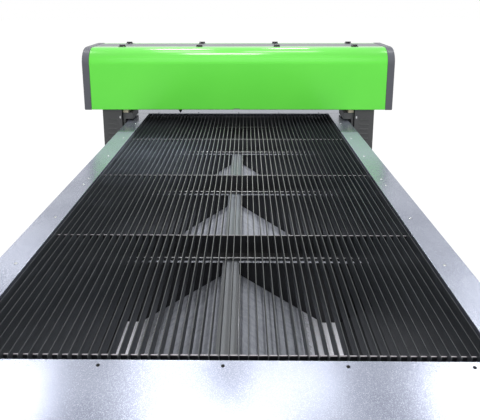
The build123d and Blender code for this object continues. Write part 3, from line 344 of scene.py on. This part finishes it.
def hopperZinc(look):  # hot-dipped sheet with crystals and run marks down the slopes
    finish = Finish("hopperZinc")
    soft, edges = finish.edge(look["edge"])
    crystal = finish.cells(look["crystals"], look["crystalWeights"])[1]
    runs = finish.noise(*look["runs"])
    tone = finish.shades(crystal, look, *look["crystalTones"])
    tone = finish.mix(finish.spread(runs, *look["runPatches"]) * look["runShare"], tone, paint(look["stain"]))
    tone = finish.mix(edges * look["edgeShare"], tone, paint(look["bright"]))
    floor = finish.spread(finish.distance(up), *look["paintedLightHeight"], 1, 0)  # painted light: the valley floor low down is near-white, standing in for the light that falls on it
    tone = finish.mix(floor, tone, paint(look["floor"]))
    inward = finish.distance((-1, 0, 0)) * finish.facing(across)
    outer = finish.spread(inward, *look["outerFrom"])  # the outer slopes, which face the middle, are made dark
    tone = finish.mix(outer, tone, paint(look["outer"]))
    shine = finish.spread(finish.distance(along), *look["shineAlong"], *look["shine"])
    marks = swing(crystal, look["crystalRough"]) + swing(runs, look["runRough"])
    return finish.surface({
        "Base Color": tone,
        "Metallic": shine * (1 - finish.node("Clamp", {}, {"Value": floor + outer})),
        "Roughness": look["rough"] + floor * look["paintedLightRough"] + outer * look["outerRough"] + marks,
        "Normal": finish.bump(crystal, look["crystalDepth"], soft),
    })


bladeLook = {
    "colour": "404347", "shade": "36393e", "strips": (3, 3, (30, 1, 1)), "round": 0.0006,
    "rough": 0.42, "topRough": 0.2, "metal": 0.15, "specular": 0.32, "topFaces": (0.5, 0.9),
    "scale": (160, 4, (1, 0.25, 1)), "scaleRough": 0.25, "scaleDepth": 0.00006,
    "smoke": "565a61", "smokeNoise": (9, 4, (1, 1, 3)), "smokePatches": (0.5, 0.8), "smokeShare": 0.6,
    "smokeRough": 0.2, "edgeMark": "2a2c2e", "edgeMarkRange": (0.25, 0.6, 0.45, 1),
    "worn": "b0b0ae", "wearAndHighlightShare": 0.9, "wearAndHighlightAcross": (0.12, 0.5, 1, 0),
    "wearAndHighlightFront": (-1.0, 0.1, 0.12, 1), "paintedShadeRear": (0.7, 0.85, 1, 0.2),
    "paintedSheen": "8d94a2", "paintedSheenShare": 0.7, "paintedSheenAt": (-0.4, 0.35, 0.73), "paintedSheenReach": (0.1, 0.6, 1, 0),
    "paintedSheenPatches": (0.3, 0.7, 0.4, 1), "paintedSheenEnd": (0.58, 0.7, 1, 0.1),
}


def bladeBlack(look):  # blackened strip steel, darker along the top edge, worn tops partly painted highlight, painted sheen on one side
    finish = Finish("bladeBlack")
    scale = finish.noise(*look["scale"])
    smoke = finish.noise(*look["smokeNoise"])
    tone = finish.shades(finish.noise(*look["strips"]), look)
    smoked = finish.spread(smoke, *look["smokePatches"]) * look["smokeShare"]
    tone = finish.mix(smoked, tone, paint(look["smoke"]))
    # darker along the top edges of the blades
    top = finish.spread(finish.facing(up), *look["topFaces"])
    edgeMark = top * finish.spread(scale, *look["edgeMarkRange"])
    tone = finish.mix(edgeMark, tone, paint(look["edgeMark"]))
    # bright worn tops: partly wear, partly a painted highlight in the middle, faded at the back as painted
    # shade under the gantry
    offside = finish.node("Math", {"operation": "ABSOLUTE"}, {0: finish.distance(across)})
    run = finish.distance(along)
    worn = finish.spread(offside, *look["wearAndHighlightAcross"])
    worn = worn * finish.spread(run, *look["wearAndHighlightFront"]) * finish.spread(run, *look["paintedShadeRear"])
    tone = finish.mix(edgeMark * worn * look["wearAndHighlightShare"], tone, paint(look["worn"]))
    # painted sheen: a bluish veil over the far-left blades, standing in for light glancing off them
    away = finish.vector("DISTANCE", finish.spot(), look["paintedSheenAt"], "Value")
    paintedSheen = finish.spread(away, *look["paintedSheenReach"]) * finish.spread(smoke, *look["paintedSheenPatches"])
    paintedSheen = paintedSheen * finish.spread(run, *look["paintedSheenEnd"])
    tone = finish.mix(paintedSheen * look["paintedSheenShare"], tone, paint(look["paintedSheen"]))
    marks = swing(scale, look["scaleRough"]) + swing(smoke, look["smokeRough"])
    return finish.surface({
        "Base Color": tone,
        "Metallic": look["metal"],
        "Specular IOR Level": look["specular"],
        "Roughness": look["rough"] + marks + top * look["topRough"],
        "Normal": finish.bump(scale, look["scaleDepth"], finish.soften(look["round"])),
    })


combLook = {
    "colour": "1b1c1f", "shade": "121316", "cloud": (7, 3), "rough": 0.45, "round": 0.001,
    "grain": (420, 3), "grainRough": 0.2, "grainDepth": 0.00005, "faces": (0.6, 0.95),
    "cut": "979398", "cutRange": (0.2, 0.5, 0.7, 1), "cutMetal": 0.25,
    "highlightHeight": (0.731, 0.732), "highlightAlong": (-0.6, 0.55, 0.15, 1),
    "dust": "36383c", "dustAlong": (-0.5, 0.6),
}


def combBlack(look):  # painted comb plates and bulkheads, bright along the cut edges on top, with a painted highlight along their front
    finish = Finish("combBlack")
    grain = finish.noise(*look["grain"])
    run = finish.distance(along)
    tone = finish.shades(finish.noise(*look["cloud"]), look)
    tone = finish.mix(finish.spread(run, *look["dustAlong"]), tone, paint(look["dust"]))
    top = finish.spread(finish.facing(up), *look["faces"])
    # painted highlight: a thin bright band along the top of each comb's front, stronger towards the far rows
    highlightBand = finish.spread(finish.distance(up), *look["highlightHeight"]) * finish.spread(run, *look["highlightAlong"])
    highlightBand = highlightBand * finish.spread(finish.facing(front), *look["faces"])
    tone = finish.mix(top * finish.spread(grain, *look["cutRange"]) + highlightBand, tone, paint(look["cut"]))
    return finish.surface({
        "Base Color": tone,
        "Metallic": top * look["cutMetal"],
        "Roughness": look["rough"] + swing(grain, look["grainRough"]),
        "Normal": finish.bump(grain, look["grainDepth"], finish.soften(look["round"])),
    })


glassBase = {
    "colour": "ffffff", "wave": 18, "waveRough": 0.02, "waveDepth": 0.0002, "rough": 0.02, "round": 0.001,
    "clear": 0.9, "bend": 1.47,
}
glassLooks = {"tubeGlass": {"shade": "eef4f2"}, "lensGlass": {"shade": "f0d9a6"}}


def clearGlass(name, look):  # drawn glass with a faint wave in it
    finish = Finish(name)
    wave = finish.noise(look["wave"])
    return finish.surface({
        "Base Color": finish.shades(wave, look),
        "Roughness": look["rough"] + swing(wave, look["waveRough"]),
        "Transmission Weight": look["clear"],
        "IOR": look["bend"],
        "Normal": finish.bump(wave, look["waveDepth"], finish.soften(look["round"])),
    })


beltLook = {
    "colour": "17181a", "shade": "0f1011", "fibre": 500, "fibreRough": 0.2, "rough": 0.62, "round": 0.0004,
    "tooth": 0.005, "toothDepth": 0.0012, "toothSlope": (-0.4, 0.4),
}


def toothedBelt(look):  # moulded belt with teeth across its length
    finish = Finish("beltBlack")
    phase = finish.distance((1, 1, 0)) * (2 * math.pi / look["tooth"])
    wave = finish.node("Math", {"operation": "SINE"}, {0: phase})
    teeth = finish.spread(wave, *look["toothSlope"])
    fibre = finish.noise(look["fibre"])
    return finish.surface({
        "Base Color": finish.shades(fibre, look),
        "Roughness": look["rough"] + swing(fibre, look["fibreRough"]),
        "Normal": finish.bump(teeth, look["toothDepth"], finish.soften(look["round"])),
    })


finishes = {
    "flangeSilver": flangeSilver(flangeLook),
    "hopperZinc": hopperZinc(hopperLook),
    "bladeBlack": bladeBlack(bladeLook),
    "combBlack": combBlack(combLook),
    "beltBlack": toothedBelt(beltLook),
}
for make, base, looks in ((clearGlass, glassBase, glassLooks), (paintedSheet, sheetBase, paintLooks),
                          (bareMetal, metalBase, metalLooks), (moulded, mouldBase, mouldLooks)):
    for name, look in looks.items():
        finishes[name] = make(name, {**base, **look})
print("finishes made:", len(finishes))

finishOfNode = {
    "flangeSilver": ["front_flange", "rear_flange", "side_flanges"],
    "screwZinc": ["hinge_pins"],
    "bladeBlack": ["table_blades"],
    "combBlack": ["comb_plates", "bulkheads"],
    "barBlack": ["comb_bars"],
    "hopperZinc": ["hopper_panels"],
    "ductZinc": ["exhaust_spigots"],
    "ridgeGrey": ["ridge_tubes"],
    "frameGrey": ["side_beams", "cross_beams", "posts", "bottom_rails", "gantry_beam"],
    "panelGrey": ["side_panels", "front_panel", "rear_panel"],
    "footIron": ["levelling_feet"],
    "railSteel": ["y_rails", "x_rail", "y_cross_shaft"],
    "blockSteel": ["y_bearing_blocks", "x_bearing_blocks"],
    "plateGrey": ["leg_plates"],
    "beltBlack": ["y_belts", "x_belt"],
    "motorBlack": ["y_motor", "x_motor"],
    "pulleyAluminium": ["y_idler_left", "y_idler_right", "y_motor_pulley", "y_shaft_pulleys",
                        "x_idler_pulley", "x_motor_pulley"],
    "bracketAluminium": ["shaft_supports", "y_belt_clamps", "x_belt_clamp", "x_drive_brackets", "head_plate",
                         "head_bracket", "turning_mirrors", "spine_brackets"],
    "footCream": ["beam_foot_blocks"],
    "legCharcoal": ["leg_covers"],
    "capGrey": ["end_caps"],
    "coverGreen": ["front_cover", "rear_cover"],
    "hingeBlack": ["hinge_blocks", "front_hinge_leaves", "rear_hinge_leaves"],
    "spineGrey": ["spine", "tube_tray"],
    "tubeGlass": ["laser_tube"],
    "lensGlass": ["focus_lens"],
    "holderBlack": ["tube_holders"],
    "nozzleBlack": ["lens_tube", "nozzle"],
    "knobBlack": ["focus_screw"],
}
unfinished = set(nodes)
for finish, members in finishOfNode.items():
    for member in members:
        nodes[member].data.materials.clear()
        nodes[member].data.materials.append(finishes[finish])
        unfinished.discard(member)
print("nodes without a finish:", sorted(unfinished))

sharpAngle = math.radians(32)
hexCorner = math.radians(60)


def joined(mesh, loops):  # faces between loops of points that follow each other
    for low, high in zip(loops, loops[1:]):
        for k in range(len(low)):
            mesh.faces.new((low[k - 1], low[k], high[k], high[k - 1]))


def turned(mesh, place, profile, sides=16, hexFrom=None, ring=False):
    loops = []  # one for each (radius, height) of the profile, in mm, six-sided from hexFrom on
    for step, (radius, height) in enumerate(profile):
        loop = []
        for k in range(sides):
            angle = 2 * math.pi * k / sides
            reach = radius * mm
            if hexFrom is not None and step >= hexFrom:
                reach = reach * math.cos(hexCorner / 2) / math.cos(angle % hexCorner - hexCorner / 2)
            spot = Vector((reach * math.cos(angle), reach * math.sin(angle), height * mm))
            loop.append(mesh.verts.new(place @ spot))
        loops.append(loop)
    if ring:
        joined(mesh, loops + loops[:1])
    else:
        joined(mesh, loops)
        mesh.faces.new(loops[0])
        mesh.faces.new(loops[-1])


def swept(mesh, path, radius, sides=10):  # a round wire along a list of points
    circle = [(math.cos(2 * math.pi * k / sides), math.sin(2 * math.pi * k / sides)) for k in range(sides)]
    loops = []
    for k, point in enumerate(path):
        ahead = (path[min(k + 1, len(path) - 1)] - path[max(k - 1, 0)]).normalized()
        turn = ahead.to_track_quat("Z", "Y").to_matrix().to_4x4()
        loops.append([mesh.verts.new(point + turn @ Vector((radius * x, radius * y, 0))) for x, y in circle])
    joined(mesh, loops)
    mesh.faces.new(loops[0])
    mesh.faces.new(loops[-1])


def pointing(place, direction, stretch=(1, 1, 1)):  # a frame at a place with its height along a direction
    turn = Vector(direction).to_track_quat("Z", "Y").to_matrix().to_4x4()
    return Matrix.Translation(place) @ turn @ Matrix.Diagonal((*stretch, 1))


def addPiece(name, mesh, finish, body):
    bmesh.ops.recalc_face_normals(mesh, faces=mesh.faces)
    data = bpy.data.meshes.new(name)
    mesh.to_mesh(data)
    mesh.free()
    data.shade_smooth()
    data.set_sharp_from_angle(angle=sharpAngle)
    data.materials.append(finishes[finish])
    piece = bpy.data.objects.new(name, data)
    bpy.context.scene.collection.objects.link(piece)
    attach(piece, body)


# Screw heads as (radius, height) in mm, each with a six-sided socket
buttonHead = [(5.4, 0), (5.4, 0.5), (5.0, 1.3), (4.0, 2.1), (2.8, 2.5), (2.1, 2.5), (2.1, 1.0)]
panHead = [(4.6, 0), (4.6, 0.8), (4.0, 1.6), (2.8, 2.0), (2.0, 2.0), (2.0, 0.9)]
smallHead = [(2.9, 0), (2.9, 0.4), (2.2, 1.0), (1.3, 1.2), (1.1, 1.2), (1.1, 0.5)]
headSides = 12


def addScrews(name, places, direction, profile, body, finish="screwZinc", size=1):
    mesh = bmesh.new()
    for place in places:
        turned(mesh, pointing(place, direction, (size,) * 3), profile, headSides, len(profile) - 2)
    addPiece(name, mesh, finish, body)


# Screws that hold the flange, at the places seen in the photo
flangeScrewLook = {
    "sideX": 0.695, "sideY": (-1.238, -0.892, -0.546, -0.2, -0.122, 0.224, 0.57, 0.916),
    "endX": (-0.59, -0.295, 0, 0.295, 0.59), "endY": (-1.345, 1.235), "endSize": 0.85, "top": 0.75,
}


def addFlangeScrews(look):
    sides = [(side * look["sideX"], y, look["top"]) for side in (-1, 1) for y in look["sideY"]]
    ends = [(x, y, look["top"]) for x in look["endX"] for y in look["endY"]]
    addScrews("flange_side_screws", sides, up, buttonHead, "bed")
    addScrews("flange_end_screws", ends, up, buttonHead, "bed", "screwBlack", look["endSize"])


# Small screws through the hinge leaves
hingeScrewLook = {
    "x": (-0.8025, -0.2675, 0.2675, 0.8025), "apart": 0.012, "top": 1.258,
    "rows": {"gantry": (1.1145, 1.2965), "front_lid": (1.0755,), "rear_lid": (1.3355,)},
}


def addHingeScrews(look):
    columns = [x + side * look["apart"] for x in look["x"] for side in (-1, 1)]
    for body, rows in look["rows"].items():
        places = [(x, y, look["top"]) for x in columns for y in rows]
        addScrews(body + "_hinge_screws", places, up, smallHead, body)


# Screws round the panels under the table
panelScrewLook = {
    "sideX": 0.76, "sideY": (-1.5, -1.04, -0.58, -0.12, 0.34, 0.8, 1.26, 1.46), "sideZ": (0.13, 0.585),
    "frontY": -1.569, "rearY": 1.499, "endX": (-0.72, -0.24, 0.24, 0.72), "endZ": (0.13, 0.68),
}


def addPanelScrews(look):
    for name, side in (("left", -1), ("right", 1)):
        places = [(side * look["sideX"], y, z) for y in look["sideY"] for z in look["sideZ"]]
        addScrews(name + "_panel_screws", places, (side, 0, 0), panHead, "bed")
    for name, y, way in (("front", look["frontY"], -1), ("rear", look["rearY"], 1)):
        places = [(x, y, z) for x in look["endX"] for z in look["endZ"]]
        addScrews(name + "_panel_screws", places, (0, way, 0), panHead, "bed")


# Lock nuts on the studs of the levelling feet
nutLook = {
    "x": 0.728, "firstY": -1.537, "lastY": 1.467, "count": 4, "z": 0.045,
    "profile": [(17, 0), (18.5, 1.5), (18.5, 11.5), (17, 13), (12, 13), (12, 0)],
}


def addFootNuts(look):
    mesh = bmesh.new()
    step = (look["lastY"] - look["firstY"]) / (look["count"] - 1)
    for side in (-1, 1):
        for k in range(look["count"]):
            place = (side * look["x"], look["firstY"] + k * step, look["z"])
            turned(mesh, pointing(place, up), look["profile"], headSides, hexFrom=0, ring=True)
    addPiece("foot_lock_nuts", mesh, "screwZinc", "bed")


# Folded lips of the bulkheads, which show as a bright line under each cross bar
lipLook = {
    "rows": (-1.289, -0.659, -0.029, 0.601, 1.179), "front": -0.042, "back": -0.0015,
    "inner": 0.0305, "outer": 0.66, "bottom": 0.646, "top": 0.648,
}


def addBarLips(look):
    mesh = bmesh.new()
    low = Vector((look["inner"], look["front"], look["bottom"]))
    high = Vector((look["outer"], look["back"], look["top"]))
    middle = (low + high) / 2
    for row in look["rows"]:
        for side in (-1, 1):
            place = Matrix.Translation((side * middle.x, row + middle.y, middle.z))
            bmesh.ops.create_cube(mesh, matrix=place @ Matrix.Diagonal((*(high - low), 1)))
    addPiece("bar_lips", mesh, "lipGrey", "bed")


# Oval latches on the front of the leg covers
latchLook = {
    "places": ((-0.8155, 0.988, 0.777), (0.8155, 0.988, 0.777)), "stretch": (0.58, 1, 1), "sides": 20,
    "profile": [(10, 0), (10, 1.2), (9.2, 2.2), (7, 2.6), (3, 2.6), (3, 1.4)],
}


def addLatches(look):
    mesh = bmesh.new()
    for place in look["places"]:
        turned(mesh, pointing(place, front, look["stretch"]), look["profile"], look["sides"])
    addPiece("leg_latches", mesh, "screwZinc", "gantry")


# Inside of the laser tube: bore, jacket, gas spiral and two electrodes, in mm about the axis at (y, z) in m
coreLook = {
    "axis": (1.328, 1.05), "sides": 24, "pipes": ((9, 800), (20, 700)), "pipeWall": 1.5,
    "electrode": 15, "electrodeWall": 1, "electrodeRun": (725, 790),
    "spiral": 27, "spiralRun": (-700, -560), "spiralTurns": 4, "turnSteps": 20, "wire": 3.5,
}


def addTubeCore(look):
    y, z = look["axis"]
    place = pointing((0, y, z), across)

    def pipe(mesh, radius, wall, start, end):
        profile = [(radius, start), (radius, end), (radius - wall, end), (radius - wall, start)]
        turned(mesh, place, profile, look["sides"], ring=True)

    mesh = bmesh.new()
    for radius, half in look["pipes"]:
        pipe(mesh, radius, look["pipeWall"], -half, half)
    path = []
    start, end = look["spiralRun"]
    steps = look["spiralTurns"] * look["turnSteps"]
    for k in range(steps + 1):
        angle = 2 * math.pi * k / look["turnSteps"]
        x = start + (end - start) * k / steps
        coil = Vector((x, look["spiral"] * math.cos(angle), look["spiral"] * math.sin(angle)))
        path.append(Vector((0, y, z)) + coil * mm)
    swept(mesh, path, look["wire"] * mm)
    addPiece("tube_core", mesh, "tubeGlass", "gantry")

    mesh = bmesh.new()
    start, end = look["electrodeRun"]
    for side in (-1, 1):
        pipe(mesh, look["electrode"], look["electrodeWall"], side * start, side * end)
    addPiece("tube_electrodes", mesh, "pulleyAluminium", "gantry")


addFlangeScrews(flangeScrewLook)
addHingeScrews(hingeScrewLook)
addPanelScrews(panelScrewLook)
addFootNuts(nutLook)
addBarLips(lipLook)
addLatches(latchLook)
addTubeCore(coreLook)
print("small pieces built")

# White studio: the world is bright to the eye and in reflections, and softer as a light
worldLook = {"colour": (1, 1, 1, 1), "ambient": 0.45}


def addWorld(look):
    world = bpy.data.worlds.new("studio")
    bpy.context.scene.world = world
    world.use_nodes = True
    sky = Nodes(world.node_tree)
    backdrop = world.node_tree.nodes["Background"]
    sky.feed(backdrop.inputs["Color"], look["colour"])
    sky.feed(backdrop.inputs["Strength"], sky.seen() * (1 - look["ambient"]) + look["ambient"])


floorLook = {
    "size": 60, "colour": "f4f4f2", "shade": "f1f1ef", "cloud": (1.5, 3), "rough": 0.8,
    "glow": 1.15, "glowColour": (1, 1, 1, 1), "glowShare": 0.8,
}


def addFloor(look):
    half = look["size"] / 2
    corners = [(-half, -half, 0), (half, -half, 0), (half, half, 0), (-half, half, 0)]
    sheet = bpy.data.meshes.new("studioFloor")
    sheet.from_pydata(corners, [], [(0, 1, 2, 3)])
    floor = bpy.data.objects.new("studioFloor", sheet)
    bpy.context.scene.collection.objects.link(floor)
    finish = Finish("studioFloor")
    tone = finish.shades(finish.noise(*look["cloud"]), look, 0, 1)
    finish.surface({"Base Color": tone, "Roughness": look["rough"]})
    glow = finish.node("Emission", {}, {"Color": look["glowColour"], "Strength": look["glow"]})
    plain = Wire(finish, finish.shader.outputs[0])
    shown = finish.node("MixShader", {}, {0: finish.seen() * look["glowShare"], 1: plain, 2: glow})
    finish.feed(finish.tree.nodes["Material Output"].inputs["Surface"], shown)
    sheet.materials.append(finish.material)


# Ceiling panels as (x, y), size and brightness; the strip throws the blades' shadows on the hopper
ceiling = 3.0
lampLooks = {
    "lampRearLeft": {"place": (-0.65, 2.07), "size": (0.62, 0.42), "power": 17},
    "lampMiddle": {"place": (-0.18, 0.38), "size": (0.8, 0.42), "power": 19},
    "lampRearRight": {"place": (0.55, 2.6), "size": (0.46, 0.42), "power": 17},
    "lampOverLeft": {"place": (-0.585, 1.08), "size": (0.57, 0.4), "power": 6.4},
    "lampOverRight": {"place": (0.42, 1.1), "size": (0.74, 0.4), "power": 7.2},
    "lampFarLeft": {"place": (-1.86, 1.0), "size": (0.6, 0.6), "power": 11},
    "lampFarRight": {"place": (1.8, 1.02), "size": (0.6, 0.6), "power": 11},
    "lampTable": {"place": (0, -1.3), "size": (2.4, 2.0), "power": 0.7},
    "lampStrip": {"place": (0.36, -1.1), "size": (0.03, 2.4), "power": 125, "mirrored": False},
    "lampSideLeft": {"place": (-2.76, 3.1), "size": (0.8, 0.8), "power": 2.5},
    "lampSideRight": {"place": (2.6, 2.3), "size": (0.6, 0.8), "power": 3},
}
fillLook = {"place": (0, -4.5, 3.4), "size": (5, 3), "power": 2.6, "aim": (0, 1, 0.8)}


def addLamp(name, place, aim, look):
    data = bpy.data.lights.new(name, "AREA")
    data.shape = "RECTANGLE"
    wide, deep = look["size"]
    data.size, data.size_y = wide, deep
    data.energy = look["power"] * math.pi * wide * deep  # power is the brightness of the panel itself
    lamp = bpy.data.objects.new(name, data)
    lamp.location = place
    lamp.rotation_euler = (Vector(aim) - Vector(place)).to_track_quat("-Z", "Y").to_euler()
    lamp.visible_glossy = look.get("mirrored", True)
    bpy.context.scene.collection.objects.link(lamp)


def addLamps():
    for name, look in lampLooks.items():
        x, y = look["place"]
        addLamp(name, (x, y, ceiling), (x, y, 0), look)
    addLamp("lampFill", fillLook["place"], fillLook["aim"], fillLook)


cameraLook = {
    "place": (0.0538, -2.3675, 1.605), "pitch": 11.88, "turn": 0.681, "roll": -0.111,
    "focalPixels": 500, "axisPixel": (240, 100), "image": (480, 420), "sensor": 36,
}


def addCamera(look):
    data = bpy.data.cameras.new("photoCamera")
    wide, high = look["image"]
    axisX, axisY = look["axisPixel"]
    data.sensor_width = look["sensor"]
    data.lens = look["sensor"] * look["focalPixels"] / wide
    data.shift_x = (wide / 2 - axisX) / wide
    data.shift_y = (axisY - high / 2) / wide
    camera = bpy.data.objects.new("photoCamera", data)
    turn = Matrix.Rotation(math.radians(look["turn"]), 4, "Z")
    tilt = Matrix.Rotation(math.radians(90 - look["pitch"]), 4, "X")
    roll = Matrix.Rotation(math.radians(look["roll"]), 4, "Z")
    camera.matrix_world = Matrix.Translation(look["place"]) @ turn @ tilt @ roll
    bpy.context.scene.collection.objects.link(camera)
    bpy.context.scene.camera = camera


bpy.context.scene.view_settings.view_transform = "Standard"
addWorld(worldLook)
addFloor(floorLook)
addLamps()
addCamera(cameraLook)
print("studio and camera set")
